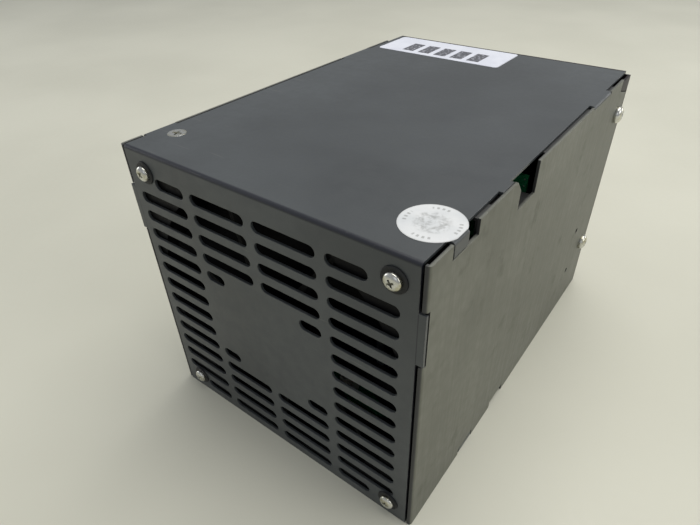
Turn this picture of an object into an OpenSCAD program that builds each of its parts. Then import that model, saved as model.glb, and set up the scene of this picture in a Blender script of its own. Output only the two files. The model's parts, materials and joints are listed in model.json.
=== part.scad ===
// Fan-cooled DIN rail power supply, lying on its base: the fan grille faces -Y,
// the terminals face +Y and the rail adapter is on the -X side.
// Inside each module x, y and z count from the grille's lower left corner.

/* [Case] */
// Width of the case over both side panels
case_w = 127; // [127:0.1:128]
// Length of the case from the grille to the end plate
case_d = 182; // [182:0.5:190]
// Height of the case from the base plate to the top
case_h = 121.3; // [121.3:0.1:122]
// Thickness of every case sheet
sheet = 1; // [0.8:0.1:1]
// Outside radius of the cover's folds
fold_r = 1.2; // [1.1:0.1:1.2]

/* [Grille] */
// Rows of cooling slots
slot_rows = 14; // [14:1:14]
// Distance between slot rows
slot_row_pitch = 8; // [7.8:0.1:8]
// Distance between slot columns
slot_column_pitch = 29.2; // [28.8:0.1:29.4]
// Overall length of a full slot
slot_length = 25.8; // [24:0.1:26]
// Height of a slot
slot_height = 4.5; // [4:0.1:4.8]

/* [Fan] */
// Width and height of the fan frame
fan_size = 119; // [118:0.1:119]
// Depth of the fan frame
fan_depth = 25; // [25:0.5:26]
// Distance between neighbouring fan screws
fan_hole_spacing = 105; // [104.8:0.1:105.2]
// Number of fan blades
fan_blades = 7; // [5:1:9]
// Radius over the blade tips
fan_blade_r = 56.6; // [54:0.1:56.8]

/* [Rail adapter] */
// Width of the mounting rail over its two flanges
rail_w = 35; // [35:0.1:35.2]
// Position of the rail's centre line along the case
rail_y = 91; // [88:1:94]
// Travel of the latch from locked to released
latch_travel = 5.5; // [4:0.5:5.5]

/* [Terminals] */
// Distance between neighbouring poles
pole_pitch = 11; // [10.5:0.1:11]
// Radius of the clamp screw's shank
clamp_screw_r = 1.95; // [1.95:0.01:1.97]

/* [Hidden] */
$fn = 64;
POLES = 7;

// What stands proud of the case, and the row's origin under the middle of the whole
side_head_h = 3;
fan_washer_h = 0.6;
fan_head_h = 1.8;
adapter_h = 7;
hook_out = 10.6;
terminal_out = 8.5;
origin_x = (case_w + side_head_h - hook_out) / 2;
origin_y = (case_d + terminal_out - fan_washer_h - fan_head_h) / 2;

// Case
edge_gap = 2.4;
cover_x = [edge_gap, case_w - edge_gap];
cover_far_y = case_d - sheet - 0.2;
base_near_y = 1.4;
panel_near_y = 0.2;
panel_far_y = case_d - sheet - 0.1;
panel_top_z = case_h - 0.3;
panel_low_z = 0.1;
near_lip_x = 125.4;
tab_gap = 0.8;
inner_x = case_w - sheet;
grille_tab_z = [case_h - 35, case_h - 16.1];
near_tab_y = [12.5, 20.5];
left_tab_y = [10, 23.5];
far_tab_y = [128, 150];
near_tab_drop = 5;
far_tab_drop = fold_r;
closed_gap_y = [43.5, 51.5];
window_y = [56, 70.5];
window_drop = 12;
base_tab_y = [38, 48.5];
base_notch_y = [67, 80];
base_tab_h = 3.3;
corner_tab_y = 170;
corner_tab_top = case_h - 1.3;
corner_tab_low = case_h - 5.4;
corner_tab_slope = 3.2;
cut = 1;

// Screws
top_screw_inset = 9.8;
top_screw_y = 17.6;
top_screw_head_r = 3.5;
side_screw_y = 172.5;
side_head_r = 3.9;
side_screw_z = [32.8, 104.3];
side_screw_r = 1.9;
bracket_hole_y = 155;
bracket_hole_z = [23.7, 48.7];
bracket_hole_r = 1.5;
base_screw_x = 6;
base_screw_y = [40, 150];

// Fan
fan_x = case_w / 2 + 1;
fan_z = sheet + fan_size / 2 + 0.05;
fan_y = sheet + 0.4;
fan_back_y = fan_y + fan_depth;
duct_r = 57.6;
fan_pocket = [15.5, 10.5];
fan_screw_r = 1.5;
fan_head_r = 2.85;
fan_washer_r = 4.3;
shaft_r = 1.5;
bearing_r = 1.55;
hub_r = 20;
blade_near = 4.6;
blade_depth = 16;
boss_y = fan_back_y - 2.5;
fan_wire_x = [73, 75.5];
fan_wire_r = 0.7;
fan_wire_bend = 4;
fan_plug_top = 18;

// Grille slots: the pattern sits a little low and towards -X
grille_x = case_w / 2 - 1.1;
grille_z = case_h / 2 - 2.65;
corner_slot_length = 15.2;
stub_slot_length = 9.5;

// Corner rails and the space between them
rail_leg = 10;
rail_gap = 0.05;
top_rail_z = case_h - sheet - 0.1;

// Terminal strips: the first pole's centre, along x, and the number of poles
terminal_z = [13, 33];
terminal_mid_z = (terminal_z[0] + terminal_z[1]) / 2;
terminal_wall = 1.5;
terminal_face_y = case_d + 0.5;
terminal_back_y = 173;
output_x = 12;
output_poles = 4;
input_x = 78;
input_poles = POLES - output_poles;
contact_h = 0.8;
clamp_plate_w = 8.4;
clamp_plate_h = 1.2;
clamp_plate_y = terminal_face_y + contact_h + 0.3;
clamp_head_y = clamp_plate_y + clamp_plate_h + 0.3;
clamp_head_r = 3.4;
clamp_head_h = 2.4;
running_gap = 0.05;

// Air vents of the end plate, beside the control board
vent_columns = 9;

// Panel fittings of the end plate
led_at = [72, 46];
trimmer_at = [60, 46];
trimmer_r = 2.5;
earth_at = [119, 24];
earth_free_r = 2;
earth_root_r = 1.65;

// Rail adapter
adapter_z = case_h / 2;
adapter_len = 72;
adapter_w = 40;
hook_lip = 2;
hook_throat = 1.4;
latch_half_w = 9.7;
latch_in = 0.35;
latch_out = 4.7;
latch_gap = 0.3;
latch_near_y = rail_y - 51;
latch_far_y = rail_y + 9.5;
nose_half_w = 7;
nose_near_y = rail_y - rail_w / 2 - 5.5;
nose_far_y = rail_y - rail_w / 2 - 0.2;
spring_lug_y = [rail_y - 12.7, rail_y - 9.7];
latch_window_y = [spring_lug_y[0] - 0.3, rail_y + 6];
spring_x = -2.55;
spring_r = 1.9;
spring_wire_r = 0.3;

// Circuit boards
board_z = 8;
board_t = 1.6;
board_top = board_z + board_t;
parts_z = board_top + 0.05;
pillar_places = [[14.5, 84], [14.5, 142], [112.4, 32], [112.4, 133.8], [57, 32.5], [72, 134]];
control_board_x = [84, 122.2];
control_board_y = 75.7;
control_board_top = 111.5;

// Poles 1 to 4 are the output, the rest are the input
function pole_x(i) =
    i <= output_poles
    ? output_x + terminal_wall / 2 + pole_pitch * (i - 0.5)
    : input_x + terminal_wall / 2 + pole_pitch * (i - output_poles - 0.5);
function middle(span) = (span[0] + span[1]) / 2;

// ---- helpers ----

module in_row_frame() { translate([-origin_x, -origin_y, 0]) children(); }

// Box between two opposite corners
module slab(a, b) { translate(a) cube(b - a); }

module rod_x(r, length) { rotate([0, 90, 0]) cylinder(r = r, h = length); }
module rod_y(r, length) { rotate([-90, 0, 0]) cylinder(r = r, h = length); }

// Mirrors its children across the middle of the case
module other_side() { translate([case_w, 0, 0]) mirror([1, 0, 0]) children(); }
module both_sides() { children(); other_side() children(); }

// Quarter of a bent sheet around the z axis, in the -x -y quadrant
module fold(length, outer_r) {
    intersection() {
        difference() {
            cylinder(r = outer_r, h = length);
            translate([0, 0, -cut]) cylinder(r = outer_r - sheet, h = length + 2 * cut);
        }
        translate([-2 * outer_r, -2 * outer_r, 0]) cube([2 * outer_r, 2 * outer_r, length]);
    }
}

// Round-ended slot cutter through a wall facing y, from its middle
module slot_y(length, height, depth) {
    straight = length - height;
    translate([-straight / 2, 0, -height / 2]) cube([straight, depth, height]);
    for (s = [-1, 1]) translate([s * straight / 2, 0, 0]) rod_y(height / 2, depth);
}

// Flat plate with four rounded corners
module rounded_plate(a, b, r, thickness) {
    translate([a[0], a[1], 0]) {
        w = b[0] - a[0];
        d = b[1] - a[1];
        translate([r, 0, 0]) cube([w - 2 * r, d, thickness]);
        translate([0, r, 0]) cube([w, d - 2 * r, thickness]);
        for (x = [r, w - r]) for (y = [r, d - r]) translate([x, y, 0]) cylinder(r = r, h = thickness);
    }
}

// Pan head with a cross recess; its underside is at 0 and it rises along z
module pan_head(r, h) {
    dome_r = (r * r + h * h) / (2 * h) * 1.25;
    difference() {
        intersection() {
            cylinder(r = r, h = h);
            translate([0, 0, h - dome_r]) sphere(r = dome_r);
        }
        for (turn = [20, 110]) rotate([0, 0, turn])
            translate([-0.62 * r, -0.16 * r, 0.45 * h]) cube([1.24 * r, 0.32 * r, h]);
    }
}

// Countersunk screw, head flush with 0 and shank along -z
module flat_screw(head_r, shank_r, length) {
    head_h = head_r - shank_r;
    difference() {
        union() {
            translate([0, 0, -head_h]) cylinder(r1 = shank_r, r2 = head_r, h = head_h);
            translate([0, 0, -length]) cylinder(r = shank_r, h = length - head_h);
        }
        for (turn = [30, 120]) rotate([0, 0, turn])
            translate([-0.55 * head_r, -0.14 * head_r, -0.3 * head_h])
                cube([1.1 * head_r, 0.28 * head_r, head_h]);
    }
}

// Cone that lets a flat head sit flush with 0
module flat_screw_seat(head_r) {
    gap = 0.05;
    translate([0, 0, -sheet - 0.5])
        cylinder(r1 = head_r + gap - sheet - 0.5, r2 = head_r + gap, h = sheet + 0.5);
    cylinder(r = head_r + gap, h = cut);
}

// ---- case ----

// One sheet folded along its top edge: the grille and the top, with tabs over the side panels
module cover() color([0.23, 0.25, 0.27]) in_row_frame() difference() {
    union() {
        slab([cover_x[0], 0, 0], [cover_x[1], sheet, case_h - fold_r]);
        slab([cover_x[0], fold_r, case_h - sheet], [cover_x[1], cover_far_y, case_h]);
        translate([cover_x[0], fold_r, case_h - fold_r])
            rotate([0, 90, 0]) fold(cover_x[1] - cover_x[0], fold_r);
        both_sides() slab([cover_x[1], 0, grille_tab_z[0]], [case_w, sheet, grille_tab_z[1]]);
        top_side_tab(near_tab_y, near_tab_drop);
        top_side_tab(far_tab_y, far_tab_drop);
        other_side() top_side_tab(left_tab_y, near_tab_drop);
        other_side() top_side_tab(far_tab_y, far_tab_drop);
        slab([cover_x[1], closed_gap_y[0], case_h - sheet], [inner_x, closed_gap_y[1], case_h]);
    }
    grille_slots();
    for (sx = [-1, 1]) for (sz = [-1, 1])
        translate([fan_x + sx * fan_hole_spacing / 2, -cut, fan_z + sz * fan_hole_spacing / 2])
            rod_y(2.15, 3 * cut);
    both_sides() translate([top_screw_inset, top_screw_y, case_h]) flat_screw_seat(top_screw_head_r);
}

module top_side_tab(span, drop) {
    length = span[1] - span[0];
    slab([cover_x[1], span[0], case_h - sheet], [case_w - fold_r, span[1], case_h]);
    translate([case_w - fold_r, span[0], case_h - fold_r])
        rotate([-90, 0, 0]) rotate([0, 0, 90]) fold(length, fold_r);
    if (drop > fold_r)
        slab([inner_x, span[0], case_h - drop], [case_w, span[1], case_h - fold_r]);
}

module grille_slots() {
    for (row = [1:slot_rows]) for (column = [1:4]) {
        outer_column = column == 1 || column == 4;
        side = column <= 2 ? -1 : 1;
        end_row = row == 1 || row == slot_rows;
        stub_row = row == 5 || row == slot_rows - 4;
        hub_row = row > 5 && row < slot_rows - 4;
        length = outer_column && end_row ? corner_slot_length
               : !outer_column && stub_row ? stub_slot_length
               : !outer_column && hub_row ? 0
               : slot_length;
        shift = outer_column ? -side : side;
        if (length > 0)
            translate([grille_x + (column - 2.5) * slot_column_pitch + shift * (slot_length - length) / 2,
                       -cut,
                       grille_z + (row - (slot_rows + 1) / 2) * slot_row_pitch])
                slot_y(length, slot_height, 2 * cut + sheet);
    }
}

// Bottom sheet; two short tabs fold up through notches in the side panels
module base_plate() color([0.23, 0.25, 0.27]) in_row_frame() difference() {
    union() {
        slab([cover_x[0], base_near_y, 0], [cover_x[1], cover_far_y, sheet]);
        both_sides() {
            slab([cover_x[1], base_tab_y[0], 0], [case_w - fold_r, base_tab_y[1], sheet]);
            translate([case_w - fold_r, base_tab_y[1], fold_r])
                rotate([90, 0, 0]) rotate([0, 0, 90]) fold(base_tab_y[1] - base_tab_y[0], fold_r);
            slab([inner_x, base_tab_y[0], fold_r], [case_w, base_tab_y[1], base_tab_h]);
        }
    }
    both_sides() for (y = base_screw_y)
        translate([base_screw_x, y, 0]) mirror([0, 0, 1]) flat_screw_seat(2.6);
}

// Dark plate at the terminal end, with inner flanges that take the side screws
module end_plate() color([0.13, 0.135, 0.14]) in_row_frame() difference() {
    union() {
        slab([0, case_d - sheet, 0.1], [case_w, case_d, corner_tab_top]);
        slab([cover_x[0], case_d - sheet, case_h / 2], [cover_x[1], case_d, case_h]);
        both_sides() {
            slab([inner_x - sheet - 0.1, 163, 12], [inner_x - 0.1, case_d - sheet, 108.5]);
            corner_tab(sheet, 0, corner_tab_top);
        }
    }
    both_sides() for (z = side_screw_z)
        translate([inner_x - 3, side_screw_y, z]) rod_x(side_screw_r + 0.1, 4);
    terminal_window(output_x, output_poles);
    terminal_window(input_x, input_poles);
    translate([led_at[0], case_d - 2, led_at[1]]) rod_y(1.6, 4);
    translate([trimmer_at[0], case_d - 2, trimmer_at[1]]) rod_y(trimmer_r + 0.4, 4);
    translate([earth_at[0], case_d - 2, earth_at[1]]) rod_y(earth_root_r + 0.1, 4);
    for (column = [0:vent_columns - 1]) for (row = [0:1])
        translate([15.7 + 7.35 * column, case_d - 2, 72 + 28 * row])
            rotate([0, 90, 0]) slot_y(23, 3.2, 4);
}

// Prism on the +x side from a sloped foot up to the height top, grown by a margin at the foot
module corner_tab(thickness, margin, top) {
    near = corner_tab_y - margin;
    far = case_d - sheet / 2;
    translate([case_w - sheet, 0, 0]) rotate([90, 0, 90]) linear_extrude(thickness)
        polygon([[near, corner_tab_low - margin], [far, corner_tab_low - corner_tab_slope - margin],
                 [far, top], [near, top]]);
}

module terminal_window(x, poles) {
    slab([x - 0.2, case_d - 2, terminal_z[0] - 0.2],
         [x + poles * pole_pitch + terminal_wall + 0.2, case_d + 1, terminal_z[1] + 0.2]);
}

// Plain side sheet at the +x side: near fold, notches for the tabs, and screw tab
module side_sheet(top_tab_y) {
    difference() {
        union() {
            slab([inner_x, panel_near_y + fold_r, panel_low_z], [case_w, panel_far_y, panel_top_z]);
            translate([case_w - fold_r, panel_near_y + fold_r, panel_low_z])
                mirror([1, 0, 0]) fold(panel_top_z - panel_low_z, fold_r);
            slab([near_lip_x, panel_near_y, panel_low_z],
                 [case_w - fold_r, panel_near_y + sheet, panel_top_z]);
        }
        slab([near_lip_x - cut, 0, grille_tab_z[0] - tab_gap],
             [case_w + cut, sheet + tab_gap, grille_tab_z[1] + tab_gap]);
        slab([inner_x - cut, top_tab_y[0] - 0.7, case_h - near_tab_drop - 0.4],
             [case_w + cut, top_tab_y[1] + 0.7, case_h]);
        slab([inner_x - cut, far_tab_y[0] - 0.6, case_h - far_tab_drop - 0.3],
             [case_w + cut, far_tab_y[1] + 0.6, case_h]);
        translate([-cut, 0, 0]) corner_tab(sheet + 2 * cut, 0.4, case_h);
        slab([inner_x - cut, base_tab_y[0] - 0.8, 0],
             [case_w + cut, base_tab_y[1] + 0.8, base_tab_h + 0.4]);
        slab([inner_x - cut, base_notch_y[0], 0], [case_w + cut, base_notch_y[1], base_tab_h + 0.4]);
        for (z = side_screw_z)
            translate([inner_x - cut, side_screw_y, z]) rod_x(side_screw_r + 0.1, 3 * cut);
    }
}

// Angle lug that holds the top screw, welded inside the side sheet clear of the cover's fold
module screw_lug() {
    lug_y = [near_tab_y[0] + 0.3, near_tab_y[1] - 0.3];
    lug_top = case_h - sheet - 1.2;
    lug_foot = case_h - near_tab_drop - 4;
    difference() {
        slab([case_w - 15, lug_y[0], lug_top - sheet], [inner_x - 0.1, lug_y[1], lug_top]);
        translate([case_w - top_screw_inset, top_screw_y, lug_top - 2]) cylinder(r = 1.6, h = 4);
    }
    slab([inner_x - sheet, lug_y[0], lug_foot], [inner_x - 0.1, lug_y[1], lug_top]);
    slab([inner_x - sheet, lug_y[0], lug_foot], [inner_x + sheet / 2, lug_y[1], lug_foot + 3]);
}

module side_panel_left() color([0.43, 0.43, 0.4]) in_row_frame() difference() {
    other_side() {
        side_sheet(left_tab_y);
        screw_lug();
    }
    for (at = adapter_screw_places()) translate([-cut, at[0], at[1]]) rod_x(2, 3 * cut);
}

// The right-hand sheet has an inspection window whose flap is bent inwards
module side_panel_right() color([0.43, 0.43, 0.4]) in_row_frame() {
    difference() {
        side_sheet([near_tab_y[0], 26.3]);
        window_cut();
        for (z = bracket_hole_z)
            translate([inner_x - cut, bracket_hole_y, z]) rod_x(bracket_hole_r, 3 * cut);
    }
    screw_lug();
    window_flap();
}

module window_cut() {
    slab([inner_x - cut, window_y[0], case_h - window_drop], [case_w + cut, window_y[1], case_h]);
    translate([inner_x - cut, window_y[0], case_h])
        rotate([90, 0, 90]) linear_extrude(3 * cut) polygon([[-4, 0], [0.1, 0], [0.1, -4.6], [0, -4.6]]);
}

module window_flap() {
    flap_z = case_h - window_drop;
    difference() {
        union() {
            slab([inner_x - 11, window_y[0] + 0.3, flap_z - sheet - 0.8],
                 [case_w - fold_r, window_y[1] - 0.3, flap_z - 0.8]);
            translate([case_w - fold_r, window_y[0] + 0.3, flap_z - 0.8 - fold_r])
                rotate([-90, 0, 0]) rotate([0, 0, 90]) fold(window_y[1] - window_y[0] - 0.6, fold_r);
        }
        slab([inner_x, 0, 0], [case_w + cut, case_d, case_h]);
    }
}

// Angle strips spot-welded inside the corners; the upper right one stops either side of the window
module corner_rails() color([0.5, 0.5, 0.47]) in_row_frame() {
    both_sides() difference() {
        corner_angle([28, 160]);
        for (y = base_screw_y) translate([case_w - base_screw_x, y, 0]) cylinder(r = 1.7, h = 5);
    }
    translate([0, 0, sheet + top_rail_z]) mirror([0, 0, 1]) {
        other_side() corner_angle([28, 160]);
        corner_angle([28, 51]);
        corner_angle([79, 160]);
    }
}

// Angle with its corner cut away where a tab of the cover or the base folds past it
module corner_angle(span) {
    outer = inner_x - rail_gap;
    low = sheet + rail_gap;
    difference() {
        union() {
            slab([outer - rail_leg, span[0], low], [outer, span[1], low + sheet]);
            slab([outer - sheet, span[0], low + sheet], [outer, span[1], low + rail_leg]);
        }
        for (tab = [base_tab_y, far_tab_y])
            slab([outer - 1.6, tab[0] - cut, 0], [case_w, tab[1] + cut, low + 1.8]);
    }
}

// ---- case screws ----

module cover_screws() color([0.72, 0.72, 0.7]) in_row_frame()
    both_sides() translate([top_screw_inset, top_screw_y, case_h]) flat_screw(top_screw_head_r, 1.45, 9);

module side_screws() color([0.72, 0.72, 0.7]) in_row_frame()
    both_sides() for (z = side_screw_z) translate([case_w, side_screw_y, z]) {
        rotate([0, 90, 0]) pan_head(side_head_r, side_head_h);
        translate([-5, 0, 0]) rod_x(side_screw_r, 5);
    }

module base_screws() color([0.6, 0.6, 0.58]) in_row_frame()
    both_sides() for (y = base_screw_y)
        translate([base_screw_x, y, 0]) mirror([0, 0, 1]) flat_screw(2.6, 1.3, 5);

module fan_corners() {
    for (sx = [-1, 1]) for (sz = [-1, 1])
        translate([fan_x + sx * fan_hole_spacing / 2, 0, fan_z + sz * fan_hole_spacing / 2]) children();
}

module fan_screws() color([0.75, 0.74, 0.7]) in_row_frame() fan_corners() {
    translate([0, -fan_washer_h, 0]) rotate([90, 0, 0]) pan_head(fan_head_r, fan_head_h);
    translate([0, -fan_washer_h, 0]) rod_y(fan_screw_r, 10);
}

module fan_washers() color([0.08, 0.08, 0.085]) in_row_frame() fan_corners() difference() {
    translate([0, -fan_washer_h, 0]) rod_y(fan_washer_r, fan_washer_h);
    translate([0, -2, 0]) rod_y(2, 4);
}

// ---- stickers ----

module inventory_label() color([0.88, 0.89, 0.93]) in_row_frame()
    translate([0, 0, case_h]) rounded_plate([5.1, 153.8], [73.4, 180.2], 2, 0.15);

module round_seal() color([0.87, 0.88, 0.88]) in_row_frame() intersection() {
    translate([117.4, 17.4, case_h]) cylinder(r = 9.6, h = 0.15);
    slab([100, 0, case_h], [case_w - 0.5, 40, case_h + 1]);
}

// ---- fan ----

// Closed square housing round the duct; its upper corners leave room for the top screws' lugs
module fan_frame() color([0.05, 0.05, 0.055]) in_row_frame() difference() {
    translate([fan_x, fan_y, fan_z]) fan_housing();
    both_sides() slab([case_w - fan_pocket[0], near_tab_y[0] - 0.2, case_h - fan_pocket[1]],
                      [case_w, near_tab_y[1] + 0.2, case_h]);
}

module fan_housing() {
    half = fan_size / 2;
    difference() {
        slab([-half, 0, -half], [half, fan_depth, half]);
        translate([0, -cut, 0]) rod_y(duct_r, fan_depth + 2 * cut);
        for (sx = [-1, 1]) for (sz = [-1, 1])
            translate([sx * fan_hole_spacing / 2, -cut, sz * fan_hole_spacing / 2])
                rod_y(2.15, fan_depth + 2 * cut);
    }
    difference() {
        union() {
            translate([0, boss_y - fan_y, 0]) rod_y(hub_r, 2.5);
            translate([0, 8, 0]) rod_y(3.5, 16);
            for (turn = [45:90:315]) rotate([0, turn, 0])
                slab([hub_r - 1, boss_y - fan_y, -2.5], [duct_r + 0.8, fan_depth, 2.5]);
        }
        rod_y(bearing_r, fan_depth + cut);
    }
}

module fan_rotor() color([0.07, 0.07, 0.075]) in_row_frame() translate([fan_x, fan_y, fan_z]) {
    difference() {
        translate([0, 2.4, 0]) rod_y(hub_r, 19);
        translate([0, 4.6, 0]) rod_y(hub_r - 2, 20);
    }
    translate([0, 4, 0]) rod_y(shaft_r, 19);
    for (i = [0:fan_blades - 1]) rotate([0, i * 360 / fan_blades, 0]) fan_blade();
}

// Cambered blade along +x: a strip of a round shell, cut to the duct
module fan_blade() {
    shell_r = 34;
    intersection() {
        difference() {
            translate([0, blade_near, 0]) rod_y(fan_blade_r, blade_depth);
            rod_y(hub_r - 1, 24);
        }
        translate([0, blade_near + blade_depth / 2, 0]) rotate([38, 0, 0])
            translate([0, -shell_r, 0]) difference() {
                translate([15, 0, 0]) rod_x(shell_r, 45);
                translate([14, 0, 0]) rod_x(shell_r - 1.5, 47);
                slab([13, -shell_r - 1, -shell_r - 1], [62, shell_r - 9, shell_r + 1]);
            }
    }
}

module fan_stator() color([0.6, 0.38, 0.2]) in_row_frame() translate([fan_x, fan_y + 8.5, fan_z])
    difference() {
        rod_y(16.6, 12);
        translate([0, -cut, 0]) rod_y(3.6, 14);
        for (turn = [0:60:300]) rotate([0, turn, 0]) slab([9, -cut, -1.2], [20, 14, 1.2]);
    }

// Two wires that leave the fan's boss, bend down once and end in the plug
module fan_lead() color([0.5, 0.1, 0.1]) in_row_frame()
    for (x = fan_wire_x) translate([x, fan_back_y + 0.1, 50]) {
        rod_y(fan_wire_r, 2);
        translate([0, 2, -fan_wire_bend]) rotate([90, 0, 90])
            rotate_extrude(angle = 90) translate([fan_wire_bend, 0]) circle(r = fan_wire_r, $fn = 24);
        translate([0, 2 + fan_wire_bend, fan_plug_top + 0.1 - 50])
            cylinder(r = fan_wire_r, h = 50 - fan_wire_bend - fan_plug_top - 0.1);
    }

module fan_plug() color([0.85, 0.84, 0.78]) in_row_frame()
    slab([fan_wire_x[0] - 2.2, fan_back_y + fan_wire_bend - 0.3, parts_z],
         [fan_wire_x[1] + 2.2, fan_back_y + fan_wire_bend + 4.5, fan_plug_top]);

// ---- rail adapter ----

function adapter_screw_places() =
    [for (y = [rail_y - 29, rail_y + 31]) for (s = [-1, 1]) [y, adapter_z + s * 15]];

// Plate with the fixed hook, and a channel for the latch on its inner face
module din_adapter() color([0.16, 0.17, 0.18]) in_row_frame() {
    near = rail_y - adapter_len / 2 + 2;
    far = near + adapter_len;
    edge = rail_y + rail_w / 2;
    low = adapter_z - adapter_w / 2;
    high = adapter_z + adapter_w / 2;
    difference() {
        union() {
            slab([-adapter_h, near, low], [-0.05, far, high]);
            slab([-hook_out, edge + 0.3, low], [-adapter_h, edge + 5.5, high]);
            slab([-hook_out, edge - hook_lip, low], [-adapter_h - hook_throat, edge + 0.3, high]);
        }
        slab([-latch_out - latch_gap, near - cut, adapter_z - latch_half_w - latch_gap],
             [cut, latch_far_y + 1.5, adapter_z + latch_half_w + latch_gap]);
        slab([-adapter_h - cut, nose_near_y - latch_travel - 0.4, adapter_z - nose_half_w - 0.4],
             [-latch_out, nose_far_y + 0.1, adapter_z + nose_half_w + 0.4]);
        for (at = adapter_screw_places()) translate([-adapter_h, at[0], at[1]]) {
            rod_x(2, 10);
            rotate([0, -90, 0]) flat_screw_seat(3.6);
            translate([-0.01, 0, 0]) rotate([0, 90, 0]) cylinder(r1 = 3.65, r2 = 2, h = 1.65);
        }
    }
    slab([-latch_out - latch_gap - 0.2, spring_lug_y[0], adapter_z - 3],
         [-0.4, spring_lug_y[1], adapter_z + 3]);
}

// Sliding latch: a flat bar with a nose under the rail's lower flange and a pull tab
module din_latch() color([0.62, 0.62, 0.6]) in_row_frame() {
    lip_y = rail_y - rail_w / 2 + hook_lip;
    difference() {
        slab([-latch_out, latch_near_y, adapter_z - latch_half_w],
             [-latch_in, latch_far_y, adapter_z + latch_half_w]);
        slab([-latch_out - cut, latch_window_y[0], adapter_z - 3.6], [1, latch_window_y[1], adapter_z + 3.6]);
        slab([-latch_out - cut, latch_near_y + 3, adapter_z - 4], [1, latch_near_y + 6.5, adapter_z + 4]);
    }
    slab([-hook_out, nose_near_y, adapter_z - nose_half_w],
         [-latch_out, nose_far_y, adapter_z + nose_half_w]);
    slab([-hook_out, nose_far_y, adapter_z - nose_half_w],
         [-adapter_h - hook_throat, lip_y, adapter_z + nose_half_w]);
}

// Coil between the adapter's lug and the end of the latch's window, as closed turns
module latch_spring() color([0.7, 0.7, 0.7]) in_row_frame() {
    turns = 9;
    start = spring_lug_y[1] + 0.1 + spring_wire_r;
    length = latch_window_y[1] - spring_lug_y[1] - 0.2 - 2 * spring_wire_r;
    for (i = [0:turns - 1]) translate([spring_x, start + i * length / (turns - 1), adapter_z])
        rotate([-90, 0, 0]) rotate_extrude()
            translate([spring_r - spring_wire_r, 0]) circle(r = spring_wire_r, $fn = 24);
}

module adapter_screws() color([0.6, 0.6, 0.58]) in_row_frame()
    for (at = adapter_screw_places()) translate([-adapter_h, at[0], at[1]])
        rotate([0, -90, 0]) flat_screw(3.55, 1.9, 11);

// ---- terminals ----

// Moulded strip: a body with a bore per pole, and a wall either side of each pole
module terminal_strip(first, poles) {
    x = first == 1 ? output_x : input_x;
    length = poles * pole_pitch + terminal_wall;
    difference() {
        slab([x, terminal_back_y, terminal_z[0]], [x + length, terminal_face_y, terminal_z[1]]);
        for (i = [first:first + poles - 1])
            translate([pole_x(i), terminal_back_y + 1, terminal_mid_z])
                rod_y(clamp_screw_r + running_gap, 20);
    }
    for (i = [0:poles])
        slab([x + i * pole_pitch, terminal_face_y, terminal_z[0]],
             [x + i * pole_pitch + terminal_wall, case_d + terminal_out, terminal_z[1]]);
}

module output_terminal_base() color([0.07, 0.08, 0.08]) in_row_frame() terminal_strip(1, output_poles);
module input_terminal_base() color([0.07, 0.08, 0.08]) in_row_frame()
    terminal_strip(output_poles + 1, input_poles);

module terminal_contacts() color([0.72, 0.62, 0.35]) in_row_frame()
    for (i = [1:POLES]) difference() {
        slab([pole_x(i) - 4.3, terminal_face_y, terminal_mid_z - 8],
             [pole_x(i) + 4.3, terminal_face_y + contact_h, terminal_mid_z + 8]);
        translate([pole_x(i), case_d, terminal_mid_z]) rod_y(clamp_screw_r + running_gap, 5);
    }

module clamp_plate(i) color([0.66, 0.66, 0.63]) in_row_frame() difference() {
    half = clamp_plate_w / 2;
    slab([pole_x(i) - half, clamp_plate_y, terminal_mid_z - half],
         [pole_x(i) + half, clamp_plate_y + clamp_plate_h, terminal_mid_z + half]);
    translate([pole_x(i), case_d, terminal_mid_z]) rod_y(clamp_screw_r + running_gap, 5);
}

module clamp_screw(i) color([0.74, 0.73, 0.68]) in_row_frame()
    translate([pole_x(i), clamp_head_y, terminal_mid_z]) {
        rotate([-90, 0, 0]) pan_head(clamp_head_r, clamp_head_h);
        translate([0, -10, 0]) rod_y(clamp_screw_r, 10);
    }

// ---- end plate fittings ----

module status_led() color([0.2, 0.7, 0.25]) in_row_frame() translate([led_at[0], 0, led_at[1]]) {
    translate([0, case_d - 2.2, 0]) rod_y(1.9, 1.1);
    translate([0, case_d - 1.2, 0]) rod_y(1.5, 1.8);
    translate([0, case_d + 0.6, 0]) sphere(r = 1.5);
}

module trimmer_body() color([0.1, 0.25, 0.6]) in_row_frame() translate([trimmer_at[0], 0, trimmer_at[1]])
    difference() {
        slab([-4.8, 171, -4.8], [4.8, case_d - 1.2, 4.8]);
        translate([0, 174, 0]) rod_y(trimmer_r + running_gap, 10);
    }

module trimmer_rotor() color([0.85, 0.84, 0.8]) in_row_frame() translate([trimmer_at[0], 0, trimmer_at[1]])
    difference() {
        translate([0, 174.3, 0]) rod_y(trimmer_r, case_d + 0.5 - 174.3);
        slab([-2, case_d - 0.4, -0.35], [2, case_d + 1, 0.35]);
    }

// Riveted stud, drawn at its thread's root radius as far as the nut reaches and at its full
// radius on the free end
module earth_stud() color([0.75, 0.68, 0.4]) in_row_frame() translate([earth_at[0], 0, earth_at[1]]) {
    translate([0, case_d - 3, 0]) rod_y(3.4, 1.95);
    translate([0, case_d - 2, 0]) rod_y(earth_root_r, 6.4);
    translate([0, case_d + 4.4, 0]) rod_y(earth_free_r, 4);
}

module earth_nut() color([0.74, 0.73, 0.68]) in_row_frame()
    translate([earth_at[0], case_d + 0.05, earth_at[1]]) difference() {
        union() {
            rod_y(4.2, 0.8);
            translate([0, 0.8, 0]) rotate([-90, 0, 0]) cylinder(r = 4, h = 3, $fn = 6);
        }
        translate([0, -cut, 0]) rod_y(earth_root_r + running_gap, 7);
    }

// ---- circuit boards and what is on them ----

module pillars() { for (at = pillar_places) translate([at[0], at[1], 0]) children(); }

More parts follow.
